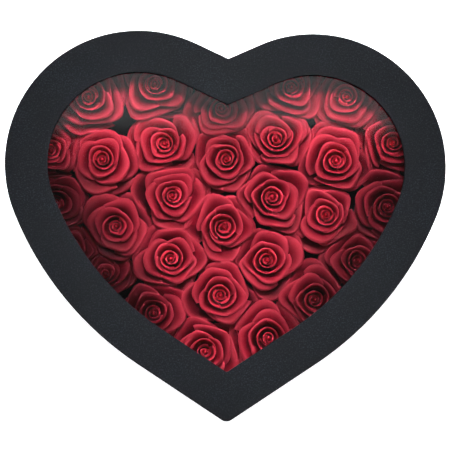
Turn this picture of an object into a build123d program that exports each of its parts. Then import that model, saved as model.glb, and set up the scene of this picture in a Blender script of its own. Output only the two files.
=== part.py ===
"""Heart-shaped gift box with a window lid, filled with soap roses on a foam bed."""
import math
import os

from build123d import *

os.makedirs("parts", exist_ok=True)

# Heart outline of the lid, lengths in mm and angles in degrees
LOBE_OFFSET = 67.5
LOBE_RADIUS = 102.5
NOTCH_SLOPE = 24.6
NOTCH_FILLET = 1.5
TIP_REACH = 197.7
TIP_HALF_ANGLE = 56.7
TIP_EDGE = 81.0
TIP_FILLET = 7.0

# Sheet stock
BOARD = 2.0
PAPER = 0.3
FILM = 0.35
GLUE_LINE = 0.1

# Lid
BOX_HEIGHT = 100.0
LID_DEPTH = 38.0
FRAME_WIDTH = 32.2
WINDOW_FILLET = 1.6
TOP_SHEET_SETBACK = 1.2
SIDE_TURN_OVER = 9.0
RIM_TURN_IN = 14.0
WINDOW_TURN_UNDER = 7.0
FILM_OVERLAP = 14.0
LINING_SETBACK = 2.0

# Base
LID_CLEARANCE = 0.8
WALL_TURN_IN = 20.0
FLOOR_TURN_UNDER = 10.0
FLOOR_CLEARANCE = 0.2
LINER_DROP = 6.0
BED_CLEARANCE = 0.4

# Roses
HEAD_GAP = 0.6
HEADROOM = 9.0
CUP_FLOOR = 2.0
CUP_CLEARANCE = 0.15
PEG_RADIUS = 2.4
PEG_LENGTH = 17.0
PEG_CLEARANCE = 0.15
PEG_END_SPACE = 1.0
SEPAL_COUNT = 5
HEAD_SPIN_STEP = 137.5
CUT_OVERRUN = 1.0

# Places of the rose heads, as shares of the lid's half width and half length
ROSE_PLACE_SHARES = [
    (-0.812, 0.396), (-0.637, 0.677), (-0.331, 0.752), (-0.021, 0.646), (0.305, 0.748),
    (0.572, 0.711), (0.785, 0.458), (-0.566, 0.350), (-0.278, 0.439), (0.013, 0.361),
    (0.245, 0.460), (0.522, 0.358), (-0.795, 0.131), (-0.499, 0.009), (-0.253, 0.158),
    (-0.015, -0.004), (0.211, 0.151), (0.476, 0.059), (0.756, 0.115), (-0.559, -0.282),
    (-0.255, -0.173), (0.198, -0.177), (0.618, -0.176), (-0.331, -0.457), (-0.023, -0.361),
    (0.420, -0.387), (-0.092, -0.655), (0.203, -0.589), (-0.710, -0.124),
]

# Petal rings, as shares of the head radius: count, arc in degrees, shift of the petal's axis that
# makes the ring a spiral, bend radius of the lip, and the section from foot to lip as (radius, height)
RING_SHARES = [
    (2, 210, 0.035, 0.0, [(0.09, 0.25), (0.190, 0.76), (0.165, 1.38)]),
    (3, 148, 0.040, 0.0, [(0.21, 0.25), (0.355, 0.68), (0.345, 1.26)]),
    (4, 116, 0.045, 0.06, [(0.34, 0.25), (0.500, 0.58), (0.545, 1.12), (0.665, 1.12)]),
    (5, 96, 0.055, 0.08, [(0.485, 0.25), (0.700, 0.50), (0.775, 0.95), (0.925, 0.92)]),
]
PETAL_THICKNESS_SHARE = 0.04
PETAL_TIP_SHARE = 0.35
SHOULDER_SHARE = 0.70
BUD_SHARES = [(0.05, 0.25), (0.115, 0.80), (0.075, 1.38), (0.0, 1.46)]
SEAT_SHARES = [(0.16, 0.0), (0.62, 0.34)]
CUP_RISE_SHARE = 0.16
SEPAL_NOTCH_SHARE = 0.11

slope = math.radians(NOTCH_SLOPE)
tip_angle = math.radians(TIP_HALF_ANGLE)

# The outline's middle lies on the origin, so the lobe centres follow from its length
tip_recess = TIP_FILLET * (1 / math.sin(tip_angle) - 1)
lobe_height = (TIP_REACH - tip_recess - LOBE_RADIUS) / 2
half_width = LOBE_OFFSET + LOBE_RADIUS
half_length = lobe_height + LOBE_RADIUS

# Directions and tangent points of the right half
lobe_centre = Vector(LOBE_OFFSET, lobe_height)
fall = Vector(math.cos(slope), math.sin(slope))
fall_normal = Vector(-math.sin(slope), math.cos(slope))
edge = Vector(math.sin(tip_angle), math.cos(tip_angle))
edge_inward = Vector(-math.cos(tip_angle), math.sin(tip_angle))
edge_end = Vector(0, lobe_height - TIP_REACH) + edge * TIP_EDGE
lobe_to_edge = edge_end - lobe_centre
side_radius = (LOBE_RADIUS**2 - lobe_to_edge.dot(lobe_to_edge)) / (
    2 * (lobe_to_edge.dot(edge_inward) + LOBE_RADIUS)
)
side_centre = edge_end + edge_inward * side_radius
side_out = (lobe_centre - side_centre).normalized()
side_down = Vector(side_out.Y, -side_out.X)


def heart(inset, tip_fillet, notch_fillet, mode=Mode.ADD):
    """Adds the heart outline, moved inwards by inset, to the open sketch as a face."""
    lobe_start = lobe_centre + fall_normal * (LOBE_RADIUS - inset)
    lobe_end = lobe_centre + side_out * (LOBE_RADIUS - inset)
    side_end = edge_end + edge_inward * inset
    notch = lobe_start - fall * (lobe_start.X / fall.X)
    tip = side_end - edge * (side_end.X / edge.X)
    notch_bed = notch + Vector(0, notch_fillet / math.cos(slope) - notch_fillet)
    notch_end = notch + fall * (notch_fillet * math.tan(slope))
    tip_start = tip + edge * (tip_fillet / math.tan(tip_angle))
    tip_bed = tip + Vector(0, tip_fillet / math.sin(tip_angle) - tip_fillet)
    with BuildLine() as outline:
        TangentArc(notch_bed, notch_end, tangent=Vector(1, 0))
        Line(notch_end, lobe_start)
        TangentArc(lobe_start, lobe_end, tangent=fall)
        TangentArc(lobe_end, side_end, tangent=side_down)
        Line(side_end, tip_start)
        TangentArc(tip_start, tip_bed, tangent=-edge)
        mirror(about=Plane.YZ)
    make_face(outline.line, mode=mode)


def wall_heart(inset, mode=Mode.ADD):
    """A heart whose corners are rounded about the same centres as the lid's outer corners."""
    heart(inset, max(TIP_FILLET - inset, WINDOW_FILLET), NOTCH_FILLET + inset, mode)


def window_heart(inset, mode=Mode.ADD):
    """A heart with the window's crisp corners."""
    heart(inset, WINDOW_FILLET, WINDOW_FILLET, mode)


# Heights of the layers, from the top of the lid down
side_fold_top = BOX_HEIGHT - PAPER
board_top = side_fold_top - PAPER
board_bottom = board_top - BOARD
film_top = board_bottom - PAPER
lining_top = film_top - FILM
wall_top = lining_top - PAPER
rim_bottom = BOX_HEIGHT - LID_DEPTH

# Insets of the layers, from the lid's outer face inwards
rim_outer = PAPER + GLUE_LINE
rim_inner = rim_outer + BOARD
turn_in_outer = rim_inner + GLUE_LINE
lid_inner = turn_in_outer + PAPER
base_outer = lid_inner + LID_CLEARANCE
wall_outer = base_outer + PAPER + GLUE_LINE
wall_inner = wall_outer + BOARD
wall_turn_in_outer = wall_inner + GLUE_LINE
liner_outer = wall_turn_in_outer + PAPER + GLUE_LINE
liner_inner = liner_outer + PAPER
bed_outer = liner_inner + BED_CLEARANCE
film_outer = FRAME_WIDTH - FILM_OVERLAP

# Greyboard ring of the lid
with BuildPart() as lid_top_board:
    with BuildSketch(Plane.XY.offset(board_bottom)):
        wall_heart(rim_outer)
        window_heart(FRAME_WIDTH - PAPER - GLUE_LINE, Mode.SUBTRACT)
    extrude(amount=BOARD)
lid_top_board.part.label = "lid_top_board"
export_step(lid_top_board.part, "parts/lid_top_board.step")

# Greyboard strip under the ring's edge
with BuildPart() as lid_rim_board:
    with BuildSketch(Plane.XY.offset(rim_bottom + PAPER)):
        wall_heart(rim_outer)
        wall_heart(rim_inner, Mode.SUBTRACT)
    extrude(amount=board_bottom - rim_bottom - PAPER)
lid_rim_board.part.label = "lid_rim_board"
export_step(lid_rim_board.part, "parts/lid_rim_board.step")

# Side paper: over the ring's top, down the rim, under its edge and up inside
with BuildPart() as lid_side_paper:
    with BuildSketch(Plane.XY.offset(rim_bottom)):
        wall_heart(0)
        wall_heart(PAPER, Mode.SUBTRACT)
    extrude(amount=side_fold_top - rim_bottom)
    with BuildSketch(Plane.XY.offset(board_top)):
        wall_heart(0)
        wall_heart(SIDE_TURN_OVER, Mode.SUBTRACT)
    extrude(amount=PAPER)
    with BuildSketch(Plane.XY.offset(rim_bottom)):
        wall_heart(0)
        wall_heart(lid_inner, Mode.SUBTRACT)
    extrude(amount=PAPER)
    with BuildSketch(Plane.XY.offset(rim_bottom)):
        wall_heart(turn_in_outer)
        wall_heart(lid_inner, Mode.SUBTRACT)
    extrude(amount=RIM_TURN_IN)
lid_side_paper.part.label = "lid_side_paper"
export_step(lid_side_paper.part, "parts/lid_side_paper.step")

# Top paper: across the frame, down the window's edge and under the ring
with BuildPart() as lid_top_paper:
    with BuildSketch(Plane.XY.offset(side_fold_top)):
        wall_heart(TOP_SHEET_SETBACK)
        window_heart(FRAME_WIDTH, Mode.SUBTRACT)
    extrude(amount=PAPER)
    with BuildSketch(Plane.XY.offset(film_top)):
        window_heart(FRAME_WIDTH - PAPER)
        window_heart(FRAME_WIDTH, Mode.SUBTRACT)
    extrude(amount=BOX_HEIGHT - film_top)
    with BuildSketch(Plane.XY.offset(film_top)):
        window_heart(FRAME_WIDTH - WINDOW_TURN_UNDER)
        window_heart(FRAME_WIDTH, Mode.SUBTRACT)
    extrude(amount=PAPER)
lid_top_paper.part.label = "lid_top_paper"
export_step(lid_top_paper.part, "parts/lid_top_paper.step")

# Clear film under the ring
with BuildPart() as window_film:
    with BuildSketch(Plane.XY.offset(lining_top)):
        window_heart(film_outer)
    extrude(amount=FILM)
window_film.part.label = "window_film"
export_step(window_film.part, "parts/window_film.step")

# Paper ring that hides the film's edge
with BuildPart() as lid_lining:
    with BuildSketch(Plane.XY.offset(wall_top)):
        wall_heart(turn_in_outer)
        window_heart(FRAME_WIDTH - LINING_SETBACK, Mode.SUBTRACT)
    extrude(amount=PAPER)
lid_lining.part.label = "lid_lining"
export_step(lid_lining.part, "parts/lid_lining.step")

# Heights of the base, from the ground up
fold_bottom = PAPER
floor_bottom = fold_bottom + PAPER
floor_top = floor_bottom + BOARD

# Paper under the floor
with BuildPart() as base_bottom_paper:
    with BuildSketch():
        wall_heart(base_outer + TOP_SHEET_SETBACK)
    extrude(amount=PAPER)
base_bottom_paper.part.label = "base_bottom_paper"
export_step(base_bottom_paper.part, "parts/base_bottom_paper.step")

# Greyboard floor
with BuildPart() as base_floor_board:
    with BuildSketch(Plane.XY.offset(floor_bottom)):
        wall_heart(wall_inner + FLOOR_CLEARANCE)
    extrude(amount=BOARD)
base_floor_board.part.label = "base_floor_board"
export_step(base_floor_board.part, "parts/base_floor_board.step")

# Greyboard wall
with BuildPart() as base_wall_board:
    with BuildSketch(Plane.XY.offset(floor_bottom)):
        wall_heart(wall_outer)
        wall_heart(wall_inner, Mode.SUBTRACT)
    extrude(amount=wall_top - PAPER - floor_bottom)
base_wall_board.part.label = "base_wall_board"
export_step(base_wall_board.part, "parts/base_wall_board.step")

# Side paper of the base: under the floor, up the wall, over its top and down inside
with BuildPart() as base_side_paper:
    with BuildSketch(Plane.XY.offset(fold_bottom)):
        wall_heart(base_outer)
        wall_heart(base_outer + PAPER, Mode.SUBTRACT)
    extrude(amount=wall_top - fold_bottom)
    with BuildSketch(Plane.XY.offset(fold_bottom)):
        wall_heart(base_outer)
        wall_heart(base_outer + FLOOR_TURN_UNDER, Mode.SUBTRACT)
    extrude(amount=PAPER)
    with BuildSketch(Plane.XY.offset(wall_top - PAPER)):
        wall_heart(base_outer)
        wall_heart(wall_turn_in_outer + PAPER, Mode.SUBTRACT)
    extrude(amount=PAPER)
    with BuildSketch(Plane.XY.offset(wall_top - WALL_TURN_IN)):
        wall_heart(wall_turn_in_outer)
        wall_heart(wall_turn_in_outer + PAPER, Mode.SUBTRACT)
    extrude(amount=WALL_TURN_IN)
base_side_paper.part.label = "base_side_paper"
export_step(base_side_paper.part, "parts/base_side_paper.step")

# Paper strip inside the wall
with BuildPart() as base_liner:
    with BuildSketch(Plane.XY.offset(floor_top)):
        wall_heart(liner_outer)
        wall_heart(liner_inner, Mode.SUBTRACT)
    extrude(amount=wall_top - LINER_DROP - floor_top)
base_liner.part.label = "base_liner"
export_step(base_liner.part, "parts/base_liner.step")

# Rose places, and the largest head that each place takes
with BuildSketch() as bed_outline:
    wall_heart(bed_outer)
bed_wire = bed_outline.sketch.faces()[0].outer_wire()


def to_place(shares):
    """A place in mm from its shares of the lid's half width and half length."""
    return Vector(shares[0] * half_width, shares[1] * half_length)


def room_to_wall(place):
    """Distance from a place to the bed's edge, less the gap."""
    return bed_wire.distance_to(Vertex(place.X, place.Y, 0)) - HEAD_GAP


places = [to_place(shares) for shares in ROSE_PLACE_SHARES]
head_radii = []
for place in places:
    nearest = min((place - other).length for other in places if other is not place)
    head_radii.append(min((nearest - HEAD_GAP) / 2, room_to_wall(place)))
head_radius = max(head_radii)
petal_thickness = PETAL_THICKNESS_SHARE * head_radius
print("rose heads", len(places), "radius", round(min(head_radii), 2), "to", round(head_radius, 2))


def on_head(shares):
    """A point of the rose's section from its shares of the head radius."""
    return Vector(shares[0], shares[1]) * head_radius


def ring_petal(arc, shift, bend, section_shares):
    """One petal: a thin section with a rolled lip, turned about a shifted axis and cut to a point."""
    points = [on_head(shares) for shares in section_shares]
    bends = [0] * (len(points) - 3) + [bend]
    reach = points[-1].X + petal_thickness + CUT_OVERRUN
    middle = math.radians(arc / 2)
    outward = Vector(math.cos(middle), math.sin(middle), 0)
    along = Vector(-math.sin(middle), math.cos(middle), 0)
    side = reach * math.sin(min(middle, math.pi / 2))
    with BuildPart() as petal:
        with BuildSketch(Plane.XZ):
            with BuildLine():
                FilletPolyline(*points, radius=bends)
                offset(amount=petal_thickness, side=Side.LEFT, kind=Kind.INTERSECTION)
            make_face()
        revolve(axis=Axis.Z, revolution_arc=arc)
        top = petal.part.bounding_box().max.Z
        above = top + CUT_OVERRUN
        with BuildSketch(Plane(origin=(0, 0, 0), x_dir=along, z_dir=outward)):
            for way in (-1, 1):
                tip = way * side * PETAL_TIP_SHARE
                with BuildLine():
                    Polyline(
                        (tip, above),
                        (tip, top),
                        (way * side, top * SHOULDER_SHARE),
                        (way * side, above),
                        close=True,
                    )
                make_face()
        extrude(amount=reach, both=middle > math.pi / 2, mode=Mode.SUBTRACT)
    return petal.part.moved(Location(along * shift))


petals = [
    ring_petal(arc, shift_share * head_radius, bend_share * head_radius, section_shares)
    for count, arc, shift_share, bend_share, section_shares in RING_SHARES
]

# One rose head at the largest radius: seat, bud and the spiral rings of petals
seat_foot, seat_edge = [on_head(shares) for shares in SEAT_SHARES]
bud_foot, bud_belly, bud_neck, bud_top = [on_head(shares) for shares in BUD_SHARES]
with BuildPart() as rose_pattern:
    with BuildSketch(Plane.XZ):
        with BuildLine():
            Polyline((0, 0), seat_foot, seat_edge, (0, seat_edge.Y), close=True)
        make_face()
    revolve(axis=Axis.Z)
    with BuildSketch(Plane.XZ):
        with BuildLine():
            Polyline(bud_top, (0, bud_foot.Y), bud_foot, bud_belly, bud_neck)
            TangentArc(bud_top, bud_neck, tangent=Vector(1, 0))
        make_face()
    revolve(axis=Axis.Z)
    for turn, (petal, ring) in enumerate(zip(petals, RING_SHARES)):
        with PolarLocations(0, ring[0], start_angle=turn * HEAD_SPIN_STEP):
            add(petal)

# One moulded holder: a cup with sepals that takes the seat, and a peg for the foam
cup_rise = CUP_RISE_SHARE * head_radius
cup_lip = seat_foot.X + cup_rise * (seat_edge.X - seat_foot.X) / seat_edge.Y
sepal_notch = SEPAL_NOTCH_SHARE * head_radius
peg_end = -CUP_FLOOR - PEG_LENGTH
with BuildPart() as holder_pattern:
    with BuildSketch(Plane.XZ):
        with BuildLine():
            Polyline(
                (0, 0),
                (seat_foot.X, 0),
                (cup_lip, cup_rise),
                (cup_lip, cup_rise - CUP_FLOOR),
                (seat_foot.X, -CUP_FLOOR),
                (PEG_RADIUS, -CUP_FLOOR),
                (PEG_RADIUS, peg_end + PEG_RADIUS),
                (0, peg_end),
                close=True,
            )
        make_face()
    revolve(axis=Axis.Z)
    with PolarLocations(0, SEPAL_COUNT):
        with BuildSketch(Plane.YZ):
            with BuildLine():
                Polyline(
                    (-sepal_notch, cup_rise), (0, cup_rise - sepal_notch), (sepal_notch, cup_rise), close=True
                )
            make_face()
        extrude(amount=cup_lip + CUT_OVERRUN, mode=Mode.SUBTRACT)

# Foam bed, as high as leaves the headroom over the tallest rose
bed_top = lining_top - HEADROOM - bud_top.Y - CUP_CLEARANCE - CUP_FLOOR
with BuildPart() as foam_bed:
    with BuildSketch(Plane.XY.offset(floor_top)):
        wall_heart(bed_outer)
    extrude(amount=bed_top - floor_top)
    for place, radius in zip(places, head_radii):
        size = radius / head_radius
        with BuildSketch(Plane.XY.offset(bed_top)):
            with Locations(place):
                Circle(PEG_RADIUS * size + PEG_CLEARANCE)
        extrude(amount=-(PEG_LENGTH * size + PEG_END_SPACE), mode=Mode.SUBTRACT)
foam_bed.part.label = "foam_bed"
export_step(foam_bed.part, "parts/foam_bed.step")

# Holders and heads, each drawn to the size of its place and given its own turn
holders = []
for index, (place, radius) in enumerate(zip(places, head_radii)):
    size = radius / head_radius
    cup_height = bed_top + CUP_FLOOR * size
    turn = (0, 0, index * HEAD_SPIN_STEP)
    holder = scale(holder_pattern.part, by=size)
    holders.append(holder.moved(Location((place.X, place.Y, cup_height), turn)))
    head = scale(rose_pattern.part, by=size)
    with BuildPart() as rose:
        with Locations(Location((place.X, place.Y, cup_height + CUP_CLEARANCE), turn)):
            add(head)
    rose.part.label = f"rose_{index + 1:02d}"
    export_step(rose.part, f"parts/rose_{index + 1:02d}.step", write_pcurves=False)

with BuildPart() as rose_holders:
    add(holders)
rose_holders.part.label = "rose_holders"
export_step(rose_holders.part, "parts/rose_holders.step")
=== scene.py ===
"""Looks for the heart-shaped box of red soap roses: finishes, modelled blooms, light and camera."""
import math

import bpy
import numpy as np
from mathutils import Matrix, Vector


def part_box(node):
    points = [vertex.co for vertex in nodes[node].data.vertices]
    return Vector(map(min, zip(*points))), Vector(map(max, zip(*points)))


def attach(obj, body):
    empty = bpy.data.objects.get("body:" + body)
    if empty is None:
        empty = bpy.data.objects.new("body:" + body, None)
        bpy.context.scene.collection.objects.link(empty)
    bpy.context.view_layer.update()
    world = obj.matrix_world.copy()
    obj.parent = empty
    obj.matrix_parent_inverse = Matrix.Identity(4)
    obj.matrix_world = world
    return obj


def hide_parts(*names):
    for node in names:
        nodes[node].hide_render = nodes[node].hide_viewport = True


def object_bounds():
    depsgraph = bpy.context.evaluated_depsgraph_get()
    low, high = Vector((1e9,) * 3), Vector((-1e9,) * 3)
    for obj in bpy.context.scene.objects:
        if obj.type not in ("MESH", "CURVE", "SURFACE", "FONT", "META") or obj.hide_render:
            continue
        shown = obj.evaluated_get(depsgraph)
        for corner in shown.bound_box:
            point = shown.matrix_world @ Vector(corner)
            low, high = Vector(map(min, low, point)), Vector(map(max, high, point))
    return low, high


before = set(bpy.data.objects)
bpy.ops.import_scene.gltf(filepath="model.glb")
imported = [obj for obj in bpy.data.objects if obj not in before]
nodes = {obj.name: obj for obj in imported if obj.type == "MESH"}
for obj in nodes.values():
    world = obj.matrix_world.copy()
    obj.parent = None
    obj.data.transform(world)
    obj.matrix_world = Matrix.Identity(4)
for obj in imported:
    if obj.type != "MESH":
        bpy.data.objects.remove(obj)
cad_low, cad_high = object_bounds()

# Units and the view of the photograph
MM = 0.001
PHOTO_PIXELS = 450
FOCAL_PIXELS = 1300.0
OPTICAL_CENTRE_PIXELS = (227.566, 223.995)
MM_PER_PIXEL = 0.7662
VIEW_ROLL = math.radians(0.549)
VIEW_NOD = math.radians(-3.6)
VIEW_SWING = math.radians(3.944)
AIM_Y = 0.81
SENSOR_WIDTH = 36.0
LID_TOP = cad_high[2] / MM

# Blooms: the photographed middle of each bud
BUD_PIXELS = {
    "rose_01": (51.0, 150.0), "rose_02": (88.0, 96.0), "rose_03": (155.0, 83.0),
    "rose_04": (222.0, 109.0), "rose_05": (292.0, 86.0), "rose_06": (347.0, 96.0),
    "rose_07": (394.5, 142.0), "rose_08": (102.0, 158.5), "rose_09": (163.5, 143.0),
    "rose_10": (226.0, 158.0), "rose_11": (276.0, 137.0), "rose_12": (336.4, 160.0),
    "rose_13": (57.0, 203.0), "rose_14": (116.0, 226.3), "rose_15": (173.5, 195.0),
    "rose_16": (224.3, 227.0), "rose_17": (273.4, 197.0), "rose_18": (326.0, 213.8),
    "rose_19": (388.5, 206.6), "rose_20": (106.0, 272.5), "rose_21": (171.0, 258.2),
    "rose_22": (267.0, 259.3), "rose_23": (359.0, 259.5), "rose_24": (154.0, 313.0),
    "rose_25": (220.7, 295.0), "rose_26": (315.5, 299.5), "rose_27": (205.3, 351.8),
    "rose_28": (269.0, 338.0),
}

# Blooms: lengths in millimetres, slopes in degrees, and shares of the petal or of the rose's radius
LEAN_LIMIT = 7.0
SPIN_STEP = math.radians(137.5)
PETAL_TURN = math.radians(137.5)
TURN_JITTER = math.radians(12.0)
PETAL_THICKNESS = 0.6
LIP_HIGHLIGHT_FADE = 2.7
RIM_ROLL = 0.9
RIM_ROLL_WIDTH = 2.4
ROLL_RIM_SHARE = 1.4
ROLL_DROP_SHARE = 0.7
ROLL_RISE_SHARES = (0.3, 0.7)
LIP_HIGHLIGHT_RISE_SHARES = (0.3, 0.6)
RIPPLE_HEIGHT = 0.9
RIPPLE_WAVES = 4.2
EDGE_WAVE_SHARE = 0.04
EDGE_WAVES = 3.3
CUT_WAVE_SHARE = 0.25
CUT_WAVES = 2
POINT_SHIFT_SHARE = 0.22
POINT_ROUND_SHARE = 0.01
FLARE_JITTER = 14
RIM_JITTER_SHARE = 0.03
TOP_JITTER_SHARE = 0.02
WALL_RISE_SHARES = (0, 0.3)
LIP_RISE_SHARES = (0.45, 1)
OPEN_RISE_SHARES = (0, 0.5)
FOOT_SPREAD_SHARE = 0.5
FOOT_RISE = 3.0
FOOT_SLOPE = 22
FOOT_SHARE = 0.22
TUCK_SHARE = 0.075
CELL_GAP = 0.2
CELL_LOW_SHARE = 0.86
CELL_HIGH_SHARE = 1.45
CELL_DIRECTIONS = 96
FACING_SHARE = 0.05
DRAW_SHARES = (0.3, 0.95)
EASE_START_SHARE = 0.9
EASE_WIDTH_SHARE = 0.3
BULB_RADIUS = 2.1
BULB_LENGTH = 9.0
BULB_DROP_SHARE = 0.07
BULB_END_SHARES = (0.02, 0.995)
BULB_SWELL = 0.6
BULB_FLUTE_SHARE = 0.10
BULB_FLUTES = 2
BULB_TWIST = 5
BULB_TIP_HIGHLIGHT_SHARES = (0.9, 1.0)
BULB_TONE_SHARE = 0.5
TILT_PIVOT_SHARE = 0.30
TINY = 1e-9

# Painted light and shade on the petals: darker beside the wall left and right, brighter in the far lobes and
# in the bud; distances from the wall and from the box's middle in millimetres
WALL_DIRECTIONS = 240
WALL_SHADE_NEAR = 30.0
WALL_SHADE_FAR = 78.0
PAINTED_SIDE_LOW = 15.0
PAINTED_SIDE_HIGH = 75.0
PAINTED_TOP_LIGHT_LOW = 35.0
PAINTED_TOP_LIGHT_HIGH = 75.0
WALL_SHADE_SHARES = (0.16, 0.34)
TOP_LIGHT_SHARE = 0.50
BUD_LIGHT_SHARE = 0.65
BUD_LIGHT_RIM_SHARES = (0.2, 0.6)

# Petals from the bud outwards: rim radius, drop of the top, half spread, slope of the wall and of the lip in
# degrees, cut of the corners and how pointed the outline is
PETAL_SHARES = (
    (0.120, 0.110, 135, 86, 86, 0.05, 2.4),
    (0.165, 0.095, 130, 85, 84, 0.06, 2.4),
    (0.215, 0.080, 122, 84, 80, 0.07, 2.2),
    (0.280, 0.060, 114, 82, 76, 0.08, 2.2),
    (0.350, 0.040, 106, 80, 72, 0.09, 2.0),
    (0.425, 0.022, 100, 78, 68, 0.10, 2.0),
    (0.500, 0.008, 94, 76, 62, 0.12, 1.9),
    (0.580, 0.000, 88, 74, 56, 0.14, 1.8),
    (0.665, 0.000, 82, 72, 50, 0.16, 1.7),
    (0.750, 0.006, 77, 70, 46, 0.18, 1.7),
    (0.835, 0.020, 73, 68, 42, 0.20, 1.6),
    (0.915, 0.045, 70, 66, 36, 0.22, 1.6),
    (0.990, 0.085, 66, 64, 30, 0.23, 1.5),
    (1.050, 0.140, 63, 62, 24, 0.24, 1.5),
    (1.110, 0.210, 60, 60, 18, 0.25, 1.5),
    (1.160, 0.300, 58, 58, 12, 0.25, 1.5),
)
SIDE_STEPS = 25
RISE_STEPS = 17
PROFILE_STEPS = 120


def linear(hex_colour):
    """Turn an sRGB hex colour into linear red, green, blue and a full alpha."""
    parts = [int(hex_colour[start:start + 2], 16) / 255 for start in (1, 3, 5)]
    return [((p + 0.055) / 1.055) ** 2.4 if p > 0.04045 else p / 12.92 for p in parts] + [1.0]


def node(tree, kind, values=None, **settings):
    """Add one shader node: settings are its own properties, values go to its sockets or link to them."""
    made = tree.nodes.new(kind)
    for name, value in settings.items():
        setattr(made, name, value)
    for key, value in (values or {}).items():
        if isinstance(value, bpy.types.NodeSocket):
            tree.links.new(value, made.inputs[key])
        else:
            made.inputs[key].default_value = value
    return made


def new_material(name):
    """Start an empty material and give back it, its node tree and its output node."""
    material = bpy.data.materials.new(name)
    material.use_nodes = True
    material.node_tree.nodes.clear()
    return material, material.node_tree, material.node_tree.nodes.new("ShaderNodeOutputMaterial")


def per_metre(size_mm):
    """Scale of a noise pattern whose grains are size_mm across, on coordinates in metres."""
    return 1 / (size_mm * MM)


# Finishes: pattern sizes and relief in millimetres
PAPER_GRAIN = 1.1
LINING_GRAIN = 1.4
CLOUD_GRAINS = 30
PAPER_RELIEF = 0.15
BOARD_FIBRE = 1.6
FILM_INDEX = 1.5
FILM_WAVE = 70.0
FILM_RELIEF = 1.0
FOAM_CELL = 0.9
FOAM_RELIEF = 0.3
MOULD_CLOUD = 5.0
PETAL_MOTTLE = 4.0
PETAL_TOOTH = 0.8
PETAL_RELIEF = 0.15


def black_paper(name, dark, light, cool, grain, roughness):
    """Dyed-through black wrapping paper, rolled with a fine emboss: matte, with a faint pale tooth.

    Slow clouds turn the colour of the tooth a little cooler.
    """
    material, tree, output = new_material(name)
    place = node(tree, "ShaderNodeTexCoord").outputs["Object"]
    tooth = node(tree, "ShaderNodeTexNoise", {"Vector": place, "Scale": per_metre(grain), "Detail": 3.0,
                                              "Roughness": 0.6})
    cloud = node(tree, "ShaderNodeTexNoise", {"Vector": place, "Scale": per_metre(grain * CLOUD_GRAINS),
                                              "Detail": 2.0})
    fleck = node(tree, "ShaderNodeMapRange", {"Value": tooth.outputs["Fac"], "From Min": 0.50,
                                              "From Max": 0.75, "To Max": 0.75})
    worn = node(tree, "ShaderNodeMath", {0: fleck.outputs["Result"], 1: cloud.outputs["Fac"]},
                operation="MULTIPLY")
    cast = node(tree, "ShaderNodeMapRange", {"Value": cloud.outputs["Fac"], "From Min": 0.35,
                                             "From Max": 0.65})
    pale = node(tree, "ShaderNodeMix", {0: cast.outputs["Result"], 6: linear(light), 7: linear(cool)},
                data_type="RGBA")
    colour = node(tree, "ShaderNodeMix", {0: worn.outputs[0], 6: linear(dark), 7: pale.outputs[2]},
                  data_type="RGBA")
    bump = node(tree, "ShaderNodeBump", {"Height": tooth.outputs["Fac"], "Strength": 0.35,
                                         "Distance": PAPER_RELIEF * MM})
    skin = node(tree, "ShaderNodeBsdfPrincipled", {"Base Color": colour.outputs[2], "Roughness": roughness,
                                                   "Specular IOR Level": 0.12,
                                                   "Normal": bump.outputs["Normal"]})
    tree.links.new(skin.outputs["BSDF"], output.inputs["Surface"])
    return material


def grey_board():
    """Pressed grey chipboard: dull, with a fibrous mottle."""
    material, tree, output = new_material("pressed_greyboard")
    place = node(tree, "ShaderNodeTexCoord").outputs["Object"]
    fibre = node(tree, "ShaderNodeTexNoise", {"Vector": place, "Scale": per_metre(BOARD_FIBRE),
                                              "Detail": 5.0})
    colour = node(tree, "ShaderNodeMix", {0: fibre.outputs["Fac"], 6: linear("#6f6a63"),
                                          7: linear("#9a948b")}, data_type="RGBA")
    skin = node(tree, "ShaderNodeBsdfPrincipled", {"Base Color": colour.outputs[2], "Roughness": 0.9})
    tree.links.new(skin.outputs["BSDF"], output.inputs["Surface"])
    return material


def clear_film():
    """Clear polyester window film: see-through, with a weak, slightly wavy reflection."""
    material, tree, output = new_material("clear_polyester_film")
    place = node(tree, "ShaderNodeTexCoord").outputs["Object"]
    wave = node(tree, "ShaderNodeTexNoise", {"Vector": place, "Scale": per_metre(FILM_WAVE), "Detail": 1.0})
    bump = node(tree, "ShaderNodeBump", {"Height": wave.outputs["Fac"], "Strength": 0.3,
                                         "Distance": FILM_RELIEF * MM})
    through = node(tree, "ShaderNodeBsdfTransparent", {"Color": (0.97, 0.97, 0.97, 1.0)})
    shine = node(tree, "ShaderNodeBsdfGlossy", {"Color": (1.0, 1.0, 1.0, 1.0), "Roughness": 0.08,
                                                "Normal": bump.outputs["Normal"]})
    # The sheet doesn't bend the light, so its far face takes the turned-round index: both mirror alike
    index = node(tree, "ShaderNodeMapRange", {
        "Value": node(tree, "ShaderNodeNewGeometry").outputs["Backfacing"], "To Min": FILM_INDEX,
        "To Max": 1 / FILM_INDEX})
    edge = node(tree, "ShaderNodeFresnel", {"IOR": index.outputs["Result"]})
    mix = node(tree, "ShaderNodeMixShader", {0: edge.outputs[0], 1: through.outputs[0], 2: shine.outputs[0]})
    tree.links.new(mix.outputs[0], output.inputs["Surface"])
    return material


def floral_foam():
    """Black floral foam: a dead matte, finely open-celled block."""
    material, tree, output = new_material("black_floral_foam")
    place = node(tree, "ShaderNodeTexCoord").outputs["Object"]
    cells = node(tree, "ShaderNodeTexVoronoi", {"Vector": place, "Scale": per_metre(FOAM_CELL)})
    colour = node(tree, "ShaderNodeMix", {0: cells.outputs["Distance"], 6: linear("#0c0c0d"),
                                          7: linear("#232326")}, data_type="RGBA")
    bump = node(tree, "ShaderNodeBump", {"Height": cells.outputs["Distance"], "Strength": 0.6,
                                         "Distance": FOAM_RELIEF * MM})
    skin = node(tree, "ShaderNodeBsdfPrincipled", {"Base Color": colour.outputs[2], "Roughness": 0.95,
                                                   "Normal": bump.outputs["Normal"]})
    tree.links.new(skin.outputs["BSDF"], output.inputs["Surface"])
    return material


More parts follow.
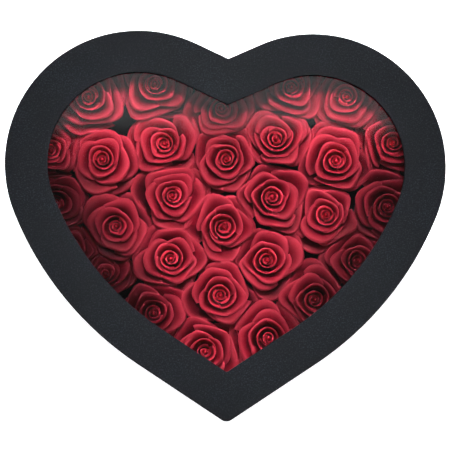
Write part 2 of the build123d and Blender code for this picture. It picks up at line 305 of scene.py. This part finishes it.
def green_plastic():
    """Moulded green polyethylene flower cups: waxy, with a faint mould bloom."""
    material, tree, output = new_material("moulded_green_polyethylene")
    place = node(tree, "ShaderNodeTexCoord").outputs["Object"]
    haze = node(tree, "ShaderNodeTexNoise", {"Vector": place, "Scale": per_metre(MOULD_CLOUD), "Detail": 3.0})
    colour = node(tree, "ShaderNodeMix", {0: haze.outputs["Fac"], 6: linear("#14351a"), 7: linear("#28552c")},
                  data_type="RGBA")
    skin = node(tree, "ShaderNodeBsdfPrincipled", {"Base Color": colour.outputs[2], "Roughness": 0.45})
    tree.links.new(skin.outputs["BSDF"], output.inputs["Surface"])
    return material


def soap_petals():
    """Pressed crimson soap-foam petals: velvety, with a painted highlight along the lips and painted shade,
    dark red, low in the folds.

    The petal attribute holds the nearness of the rim for the painted highlight, the height for the painted
    shade, a tone for each petal and painted light and shade by place: brighter in the bud and the far lobes,
    darker beside the side walls.
    """
    material, tree, output = new_material("crimson_soap_petals")
    place = node(tree, "ShaderNodeTexCoord").outputs["Object"]
    mark = node(tree, "ShaderNodeAttribute", attribute_name="petal")
    parts = node(tree, "ShaderNodeSeparateColor", {0: mark.outputs["Color"]})
    mottle = node(tree, "ShaderNodeTexNoise", {"Vector": place, "Scale": per_metre(PETAL_MOTTLE),
                                               "Detail": 3.0})
    # Painted shade: the petals darken towards the bottom of the bloom, in the folds
    height = node(tree, "ShaderNodeMapRange", {"Value": parts.outputs["Green"], "From Min": 0.55,
                                               "From Max": 1.0})
    fold_shade = node(tree, "ShaderNodeMix", {0: height.outputs["Result"], 6: linear("#180104"),
                                        7: linear("#750213")}, data_type="RGBA")
    tone = node(tree, "ShaderNodeMath", {0: parts.outputs["Blue"], 1: mottle.outputs["Fac"]},
                operation="MULTIPLY")
    body = node(tree, "ShaderNodeMix", {0: tone.outputs[0], 6: fold_shade.outputs[2], 7: linear("#9a0d24")},
                data_type="RGBA")
    # Painted highlight: the lips are made paler near their edges
    edge = node(tree, "ShaderNodeMath", {0: parts.outputs["Red"], 1: 0.78}, operation="MULTIPLY")
    colour = node(tree, "ShaderNodeMix", {0: edge.outputs[0], 6: body.outputs[2], 7: linear("#cb3649")},
                  data_type="RGBA")
    # Painted light and shade: brighter in the bud and the far lobes, darker beside the side walls
    painted_light_colour = node(tree, "ShaderNodeVectorMath", {0: colour.outputs[2], "Scale": mark.outputs["Alpha"]},
                operation="SCALE")
    tooth = node(tree, "ShaderNodeTexNoise", {"Vector": place, "Scale": per_metre(PETAL_TOOTH),
                                              "Detail": 2.0})
    bump = node(tree, "ShaderNodeBump", {"Height": tooth.outputs["Fac"], "Strength": 0.15,
                                         "Distance": PETAL_RELIEF * MM})
    skin = node(tree, "ShaderNodeBsdfPrincipled", {"Base Color": painted_light_colour.outputs[0], "Roughness": 0.6,
                                                   "Specular IOR Level": 0.12,
                                                   "Normal": bump.outputs["Normal"]})
    tree.links.new(skin.outputs["BSDF"], output.inputs["Surface"])
    return material


wrap_paper = black_paper("black_embossed_paper", "#191a1d", "#505155", "#484e58", PAPER_GRAIN, 0.62)
lining_paper = black_paper("black_lining_paper", "#18181a", "#343438", "#32343c", LINING_GRAIN, 0.8)
petals_finish = soap_petals()
board = grey_board()
NODE_FINISHES = {
    "lid_top_board": board, "lid_rim_board": board, "base_floor_board": board, "base_wall_board": board,
    "lid_side_paper": wrap_paper, "lid_top_paper": wrap_paper, "base_side_paper": wrap_paper,
    "base_bottom_paper": wrap_paper, "lid_lining": lining_paper, "base_liner": lining_paper,
    "window_film": clear_film(), "foam_bed": floral_foam(), "rose_holders": green_plastic(),
}
for node_name, finish in NODE_FINISHES.items():
    cad_piece = nodes[node_name]
    cad_piece.data.materials.clear()
    cad_piece.data.materials.append(finish)


# The photograph's view as a turn, so that a pixel can be carried to a height in the box
def view_turn():
    """Rows are the picture's right, up and towards-the-eye directions: roll, then nod, then swing."""
    roll = np.array([[math.cos(VIEW_ROLL), math.sin(VIEW_ROLL), 0],
                     [-math.sin(VIEW_ROLL), math.cos(VIEW_ROLL), 0], [0, 0, 1]])
    nod = np.array([[1, 0, 0], [0, math.cos(VIEW_NOD), -math.sin(VIEW_NOD)],
                    [0, math.sin(VIEW_NOD), math.cos(VIEW_NOD)]])
    swing = np.array([[math.cos(VIEW_SWING), 0, math.sin(VIEW_SWING)], [0, 1, 0],
                      [-math.sin(VIEW_SWING), 0, math.cos(VIEW_SWING)]])
    return swing @ nod @ roll


VIEW = view_turn()
EYE = np.array([0, AIM_Y, LID_TOP]) + VIEW[2] * FOCAL_PIXELS * MM_PER_PIXEL


def pixel_at_height(pixel, height):
    """Follow the sight line through a pixel down to a level height: the eye plus a multiple of the ray."""
    across = pixel[0] - OPTICAL_CENTRE_PIXELS[0]
    up = OPTICAL_CENTRE_PIXELS[1] - pixel[1]
    ray = across * VIEW[0] + up * VIEW[1] - FOCAL_PIXELS * VIEW[2]
    return (EYE + ray * (height - EYE[2]) / ray[2])[:2]


# Blooms
def smooth(low, high, values):
    """Ease from 0 to 1 between low and high: 3t squared less 2t cubed."""
    t = np.clip((values - low) / (high - low), 0, 1)
    return t * t * (3 - 2 * t)


def closed_sheet(points, thick):
    """Give a grid sheet two faces: each point moves half its thickness along the normal and back again.

    The thickness is nothing on the grid's border, so both faces share the border points and close.
    """
    along = np.gradient(points, axis=0)
    across = np.gradient(points, axis=1)
    normal = np.cross(across, along)
    normal /= np.maximum(np.linalg.norm(normal, axis=2, keepdims=True), TINY)
    return np.stack([points + normal * thick[..., None], points - normal * thick[..., None]])


def quads(grid):
    """Quads of a grid of point numbers."""
    return np.stack([grid[:-1, :-1], grid[:-1, 1:], grid[1:, 1:], grid[1:, :-1]], axis=-1).reshape(-1, 4)


def sheet_faces(rows, columns):
    """Quads of the two faces of a grid sheet; the second face uses the first face's border points."""
    index = np.arange(rows * columns).reshape(rows, columns)
    back = index + rows * columns
    back[0], back[-1], back[:, 0], back[:, -1] = index[0], index[-1], index[:, 0], index[:, -1]
    return np.concatenate([quads(index), quads(back)[:, ::-1]])


def running_sum(values):
    """Running trapezium sum from nothing, divided by its last value."""
    total = np.concatenate([[0], np.cumsum((values[1:] + values[:-1]) / 2)])
    return total / total[-1]


def painted_bud_light(rim):
    """Painted light on a petal by its rim's share of the radius: brightest in the bud, none further out."""
    return 1 + BUD_LIGHT_SHARE * (1 - smooth(*BUD_LIGHT_RIM_SHARES, rim))


def petal(rng, turn, radius, height, shares):
    """One petal as a grid, cut from a flared cup.

    The cup's profile comes from its slope, which climbs from the foot to the wall and eases off to the lip:
    running sums of the cosine and sine give the way out and up. The petal runs to its full length at its
    point and is cut shorter towards the corners, one edge stands further out than the other, the rim ripples
    and rolls back.
    """
    rim, drop, spread, wall, flare, cut, point = shares
    u = np.sin(np.linspace(-math.pi / 2, math.pi / 2, SIDE_STEPS))[None, :]
    v = np.linspace(0, 1, RISE_STEPS)[:, None]
    s = np.linspace(0, 1, PROFILE_STEPS)
    flare = flare + FLARE_JITTER * rng.uniform(-1, 1)
    slope = np.radians(FOOT_SLOPE + (wall - FOOT_SLOPE) * smooth(*WALL_RISE_SHARES, s)
                       + (flare - wall) * smooth(*LIP_RISE_SHARES, s))
    rim_radius = radius * rim * (1 + RIM_JITTER_SHARE * rng.uniform(-1, 1))
    tall = height * (1 - drop + TOP_JITTER_SHARE * rng.uniform(-1, 1)) - FOOT_RISE
    wave = rng.uniform(0, 2 * math.pi, 3)
    from_point = np.abs(u - POINT_SHIFT_SHARE * rng.uniform(-1, 1))
    blunt = np.sqrt(from_point ** 2 + POINT_ROUND_SHARE) ** point
    along = v * (1 - cut * blunt * (1 + CUT_WAVE_SHARE * np.sin(CUT_WAVES * u + wave[0])))
    out = rim_radius * (FOOT_SHARE + (1 - FOOT_SHARE) * np.interp(along, s, running_sum(np.cos(slope))))
    up = FOOT_RISE + tall * np.interp(along, s, running_sum(np.sin(slope)))
    out = out * (1 + TUCK_SHARE * u * smooth(*OPEN_RISE_SHARES, along))
    out = out * (1 + EDGE_WAVE_SHARE * np.sin(EDGE_WAVES * u + wave[1]) * along ** 3)
    up = up + RIPPLE_HEIGHT * rim * np.sin(RIPPLE_WAVES * u + wave[2]) * along ** 3
    opened = FOOT_SPREAD_SHARE + (1 - FOOT_SPREAD_SHARE) * smooth(*OPEN_RISE_SHARES, along)
    half = math.radians(spread) * opened
    theta = turn + u * half
    points = np.stack([out * np.cos(theta), out * np.sin(theta), up], axis=2)
    # Millimetres to the nearest edge
    step_up = np.linalg.norm(np.diff(points, axis=0), axis=2)
    to_lip = np.concatenate([np.cumsum(step_up[::-1], axis=0)[::-1], np.zeros((1, SIDE_STEPS))])
    step_side = np.linalg.norm(np.diff(points, axis=1), axis=2)
    from_left = np.concatenate([np.zeros((RISE_STEPS, 1)), np.cumsum(step_side, axis=1)], axis=1)
    to_edge = np.minimum(to_lip, np.minimum(from_left, from_left[:, -1:] - from_left))
    # Roll the rim back and thin it
    roll = RIM_ROLL * min(1, rim * ROLL_RIM_SHARE) * np.exp(-(to_edge / RIM_ROLL_WIDTH) ** 2)
    roll = roll * smooth(*ROLL_RISE_SHARES, v)
    points[..., 2] -= ROLL_DROP_SHARE * roll
    points[..., 0] += roll * np.cos(theta)
    points[..., 1] += roll * np.sin(theta)
    thick = PETAL_THICKNESS / 2 * np.sqrt(np.clip(to_edge / PETAL_THICKNESS, 0, 1))
    thick[0] = 0
    # Painted highlight along the lip; the height below feeds painted shade low in the bloom, and the bud gets
    # painted light
    lip_highlight = np.exp(-(to_edge / LIP_HIGHLIGHT_FADE) ** 2) * smooth(*LIP_HIGHLIGHT_RISE_SHARES, v)
    tone = np.full_like(lip_highlight, rng.uniform(0, 1))
    painted_light = np.full_like(lip_highlight, painted_bud_light(rim))
    return points, thick, np.stack([lip_highlight, up / height, tone, painted_light], axis=2)


def bulb(height):
    """The bud's tight core: a drop shape whose radius swells and closes, fluted by a slow spiral."""
    v = np.linspace(0, 1, RISE_STEPS)[:, None]
    theta = np.linspace(0, 2 * math.pi, SIDE_STEPS)[None, :]
    flute = 1 + BULB_FLUTE_SHARE * np.sin(BULB_FLUTES * theta + BULB_TWIST * v)
    out = BULB_RADIUS * np.sin(math.pi * np.clip(v, *BULB_END_SHARES)) ** BULB_SWELL * flute
    up = height * (1 - BULB_DROP_SHARE) - BULB_LENGTH * (1 - v) + 0 * theta
    points = np.stack([out * np.cos(theta), out * np.sin(theta), up], axis=2)
    # Painted highlight on the tip, the height for painted shade low down, a middle tone and the bud's painted
    # light
    tint = np.stack([smooth(*BULB_TIP_HIGHLIGHT_SHARES, v) + 0 * theta, up / height, BULB_TONE_SHARE + 0 * up,
                     painted_bud_light(0) + 0 * up], axis=2)
    return points, tint


def cell_reach(places, radii, which, wall):
    """Free reach around a bloom: in each direction the nearest line shared with a neighbour, or the wall."""
    angles = np.linspace(0, 2 * math.pi, CELL_DIRECTIONS, endpoint=False)
    heading = np.stack([np.cos(angles), np.sin(angles)], axis=1)
    others = np.delete(places, which, axis=0) - places[which]
    span = np.linalg.norm(others, axis=1)
    border = span * radii[which] / (radii[which] + np.delete(radii, which))
    facing = heading @ (others / span[:, None]).T
    reach = np.where(facing > FACING_SHARE, border / np.maximum(facing, FACING_SHARE), np.inf).min(axis=1)
    # Crossing of each heading with each straight piece of the wall
    first = wall - places[which]
    piece = np.roll(wall, -1, axis=0) - wall
    cross = heading[:, :1] * piece[:, 1] - heading[:, 1:] * piece[:, 0]
    cross = np.where(np.abs(cross) < TINY, TINY, cross)
    far = (first[:, 0] * piece[:, 1] - first[:, 1] * piece[:, 0]) / cross
    part = (first[:, 0] * heading[:, 1:] - first[:, 1] * heading[:, :1]) / cross
    far = np.where((far > 0) & (part >= 0) & (part <= 1), far, np.inf).min(axis=1) - CELL_GAP
    reach = np.clip(np.minimum(reach, far), CELL_LOW_SHARE * radii[which], CELL_HIGH_SHARE * radii[which])
    return np.append(angles, 2 * math.pi), around(reach), around(far)


def around(reach):
    """Even out a round of distances over five neighbours and repeat the first at the end."""
    even = sum(np.roll(reach, shift) for shift in (-2, -1, 0, 1, 2)) / 5
    return np.append(even, even[0])


def painted_light_and_shade(points, wall):
    """Painted light and shade at a point: painted shade beside the wall left and right, painted light in the
    two lobes far up.

    The wall is taken at even turns round the middle, and the distance to it is the least one to those places.
    """
    turns = np.linspace(-math.pi, math.pi, WALL_DIRECTIONS, endpoint=False)
    reach = np.interp(turns, np.arctan2(wall[:, 1], wall[:, 0]), np.hypot(wall[:, 0], wall[:, 1]),
                      period=2 * math.pi)
    across = points[:, :1] - reach * np.cos(turns)
    along = points[:, 1:2] - reach * np.sin(turns)
    near = 1 - smooth(WALL_SHADE_NEAR, WALL_SHADE_FAR, np.sqrt((across ** 2 + along ** 2).min(axis=1)))
    side = smooth(PAINTED_SIDE_LOW, PAINTED_SIDE_HIGH, np.abs(points[:, 0]))
    top = smooth(PAINTED_TOP_LIGHT_LOW, PAINTED_TOP_LIGHT_HIGH, points[:, 1])
    left, right = WALL_SHADE_SHARES
    least = left + (right - left) * smooth(-PAINTED_SIDE_HIGH, PAINTED_SIDE_HIGH, points[:, 0])
    return 1 - (1 - least) * near * side * (1 - top) + TOP_LIGHT_SHARE * side * top


def bloom(name, seed, place, radius, low, high, free):
    """A rose: petals from the bulb outwards, each a turn further round, drawn out to fill its own cell."""
    rng = np.random.default_rng(seed)
    height = high - low
    points, tints, faces, count = [], [], [], 0
    for order, shares in enumerate(PETAL_SHARES):
        turn = seed * SPIN_STEP + order * PETAL_TURN + rng.uniform(-1, 1) * TURN_JITTER
        sheet, thick, tint = petal(rng, turn, radius, height, shares)
        points.append(closed_sheet(sheet, thick).reshape(-1, 3))
        tints.append(np.stack([tint, tint]).reshape(-1, 4))
        faces.append(sheet_faces(RISE_STEPS, SIDE_STEPS) + count)
        count += points[-1].shape[0]
    core, tint = bulb(height)
    index = np.arange(core.shape[0] * SIDE_STEPS).reshape(core.shape[0], SIDE_STEPS) + count
    faces.append(quads(index))
    points.append(core.reshape(-1, 3))
    tints.append(tint.reshape(-1, 4))
    points = np.concatenate(points)
    # Tilt the bloom about its middle so that the bud stands where the photograph shows it
    if name in BUD_PIXELS:
        lean = pixel_at_height(BUD_PIXELS[name], high) - place
        lean *= min(1, LEAN_LIMIT / max(np.linalg.norm(lean), TINY))
        pivot = TILT_PIVOT_SHARE * height
        axis = Vector((-lean[1], lean[0], 0))
        tilt = Matrix.Rotation(math.atan(axis.length / (height - pivot)), 3, axis)
        points = (points - [0, 0, pivot]) @ np.array(tilt).T + [0, 0, pivot]
    # Draw the outer part of the bloom in or out to its cell, easing off past the border and short of the wall
    out = np.hypot(points[:, 0], points[:, 1])
    angle = np.mod(np.arctan2(points[:, 1], points[:, 0]), 2 * math.pi)
    angles, reach, far = free
    share = out / radius
    past = EASE_START_SHARE + EASE_WIDTH_SHARE * np.tanh((share - EASE_START_SHARE) / EASE_WIDTH_SHARE)
    eased = np.where(share < EASE_START_SHARE, share, past)
    drawn = eased * (radius + (np.interp(angle, angles, reach) - radius) * smooth(*DRAW_SHARES, share))
    drawn = np.minimum(drawn, np.interp(angle, angles, far))
    points[:, :2] *= (drawn / np.maximum(out, TINY))[:, None]
    points += [place[0], place[1], low]
    return points, np.concatenate(faces), np.concatenate(tints)


def mesh_piece(name, points, faces, tints, finish):
    """Put points in millimetres, quads and the petal attribute into one smooth-shaded piece at the origin."""
    mesh = bpy.data.meshes.new(name)
    used, faces = np.unique(faces, return_inverse=True)
    faces = faces.reshape(-1, 4)
    points, tints = points[used] * MM, tints[used]
    mesh.vertices.add(len(points))
    mesh.vertices.foreach_set("co", points.astype(np.float32).ravel())
    mesh.loops.add(faces.size)
    mesh.loops.foreach_set("vertex_index", faces.astype(np.int32).ravel())
    mesh.polygons.add(len(faces))
    mesh.polygons.foreach_set("loop_start", np.arange(0, faces.size, 4, dtype=np.int32))
    mesh.update(calc_edges=True)
    mesh.validate()
    mesh.polygons.foreach_set("use_smooth", np.ones(len(mesh.polygons), dtype=bool))
    layer = mesh.attributes.new("petal", "FLOAT_COLOR", "POINT")
    layer.data.foreach_set("color", tints.astype(np.float32).ravel())
    mesh.materials.append(finish)
    piece = bpy.data.objects.new(name, mesh)
    bpy.context.scene.collection.objects.link(piece)
    return piece


rose_names = sorted(name for name in nodes if name.startswith("rose_") and name != "rose_holders")
rose_boxes = np.array([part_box(name) for name in rose_names]) / MM
rose_places = (rose_boxes[:, 0, :2] + rose_boxes[:, 1, :2]) / 2
rose_radii = (rose_boxes[:, 1, :2] - rose_boxes[:, 0, :2]).max(axis=1) / 2
liner = nodes["base_liner"].data
wall_points = np.empty(len(liner.vertices) * 3, dtype=np.float32)
liner.vertices.foreach_get("co", wall_points)
wall_points = wall_points.reshape(-1, 3)[:, :2].astype(float) / MM
wall_points = wall_points[np.argsort(np.arctan2(wall_points[:, 1], wall_points[:, 0]))]
for which, rose_name in enumerate(rose_names):
    free = cell_reach(rose_places, rose_radii, which, wall_points)
    shape = bloom(rose_name, which + 1, rose_places[which], rose_radii[which], rose_boxes[which, 0, 2],
                  rose_boxes[which, 1, 2], free)
    # Painted light and shade by place go into the fourth channel of the petal attribute
    shape[2][:, 3] *= painted_light_and_shade(shape[0], wall_points)
    head = mesh_piece("bloom_" + rose_name[-2:], *shape, petals_finish)
    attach(head, "base")
    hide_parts(rose_name)


# Floor, light and camera
COOL_WHITE = (0.93, 0.97, 1.0)
ROOM_STRENGTH = 0.04
FLOOR_SIZE = 12.0
FLOOR_DROP = 0.2
NEAR_CLIP = 0.01
BOX_AIM = (0, 0, 0.1)
floor_mesh = bpy.data.meshes.new("floor")
floor_mesh.from_pydata([(-FLOOR_SIZE, -FLOOR_SIZE, 0), (FLOOR_SIZE, -FLOOR_SIZE, 0),
                        (FLOOR_SIZE, FLOOR_SIZE, 0), (-FLOOR_SIZE, FLOOR_SIZE, 0)], [], [(0, 1, 2, 3)])
floor = bpy.data.objects.new("floor", floor_mesh)
bpy.context.scene.collection.objects.link(floor)
floor.location.z = -FLOOR_DROP * MM
pale, pale_tree, pale_output = new_material("pale_floor")
pale_skin = node(pale_tree, "ShaderNodeBsdfPrincipled", {"Base Color": (0.9, 0.9, 0.9, 1.0), "Roughness": 0.9,
                                                         "Emission Color": (1.0, 1.0, 1.0, 1.0),
                                                         "Emission Strength": 1.0})
# Seen from below the floor gives way, so that the box's underside shows
below = node(pale_tree, "ShaderNodeNewGeometry").outputs["Backfacing"]
open_air = node(pale_tree, "ShaderNodeBsdfTransparent").outputs[0]
pale_mix = node(pale_tree, "ShaderNodeMixShader", {0: below, 1: pale_skin.outputs["BSDF"], 2: open_air})
pale_tree.links.new(pale_mix.outputs[0], pale_output.inputs["Surface"])
floor_mesh.materials.append(pale)


def soft_light(name, place, aim, size, watts, spread, mirrored):
    """A rectangular soft light at a place in metres, turned to face its aim; spread is its grid in degrees.

    Only a mirrored light shows in the film and as sheen; the others are kept out of all reflections.
    """
    lamp = bpy.data.lights.new(name, "AREA")
    lamp.shape = "RECTANGLE"
    lamp.size, lamp.size_y = size
    lamp.energy = watts
    lamp.color = COOL_WHITE
    lamp.spread = math.radians(spread)
    holder = bpy.data.objects.new(name, lamp)
    holder.location = place
    holder.visible_glossy = mirrored
    holder.rotation_euler = (Vector(aim) - Vector(place)).to_track_quat("-Z", "Y").to_euler()
    bpy.context.scene.collection.objects.link(holder)


# Lights in metres and watts: name, place, aim, size, power, spread in degrees and whether it is mirrored
STUDIO_LIGHTS = (
    ("key_light", (0.0, 0.62, 1.35), (0, 0.01, 0.09), (0.35, 0.35), 0.75, 20, False),
    ("left_light", (-1.7, 0.5, 1.5), BOX_AIM, (1.6, 1.6), 9.0, 180, False),
    ("right_light", (1.7, 0.5, 1.5), BOX_AIM, (1.6, 1.6), 9.0, 180, False),
    ("far_light", (0.0, 1.8, 1.8), BOX_AIM, (2.4, 1.0), 30.0, 180, False),
    ("near_light", (0.0, -2.0, 1.6), BOX_AIM, (2.4, 1.0), 4.0, 180, False),
    ("window_glow", (0.12, 0.50, 1.5), (0.12, 0.50, 0.0), (1.3, 0.46), 1.25, 180, True),
)
for light in STUDIO_LIGHTS:
    soft_light(*light)

world = bpy.data.worlds.new("studio")
world.use_nodes = True
world.node_tree.nodes["Background"].inputs["Color"].default_value = (1.0, 1.0, 1.0, 1.0)
world.node_tree.nodes["Background"].inputs["Strength"].default_value = ROOM_STRENGTH
bpy.context.scene.world = world
bpy.context.scene.view_settings.view_transform = "Standard"

camera_data = bpy.data.cameras.new("photo_camera")
camera_data.sensor_width = SENSOR_WIDTH
camera_data.lens = SENSOR_WIDTH * FOCAL_PIXELS / PHOTO_PIXELS
camera_data.shift_x = (PHOTO_PIXELS / 2 - OPTICAL_CENTRE_PIXELS[0]) / PHOTO_PIXELS
camera_data.shift_y = (OPTICAL_CENTRE_PIXELS[1] - PHOTO_PIXELS / 2) / PHOTO_PIXELS
camera_data.clip_start = NEAR_CLIP
camera = bpy.data.objects.new("photo_camera", camera_data)
camera.matrix_world = Matrix.Translation(EYE * MM) @ Matrix(VIEW.T.tolist()).to_4x4()
bpy.context.scene.collection.objects.link(camera)
bpy.context.scene.camera = camera
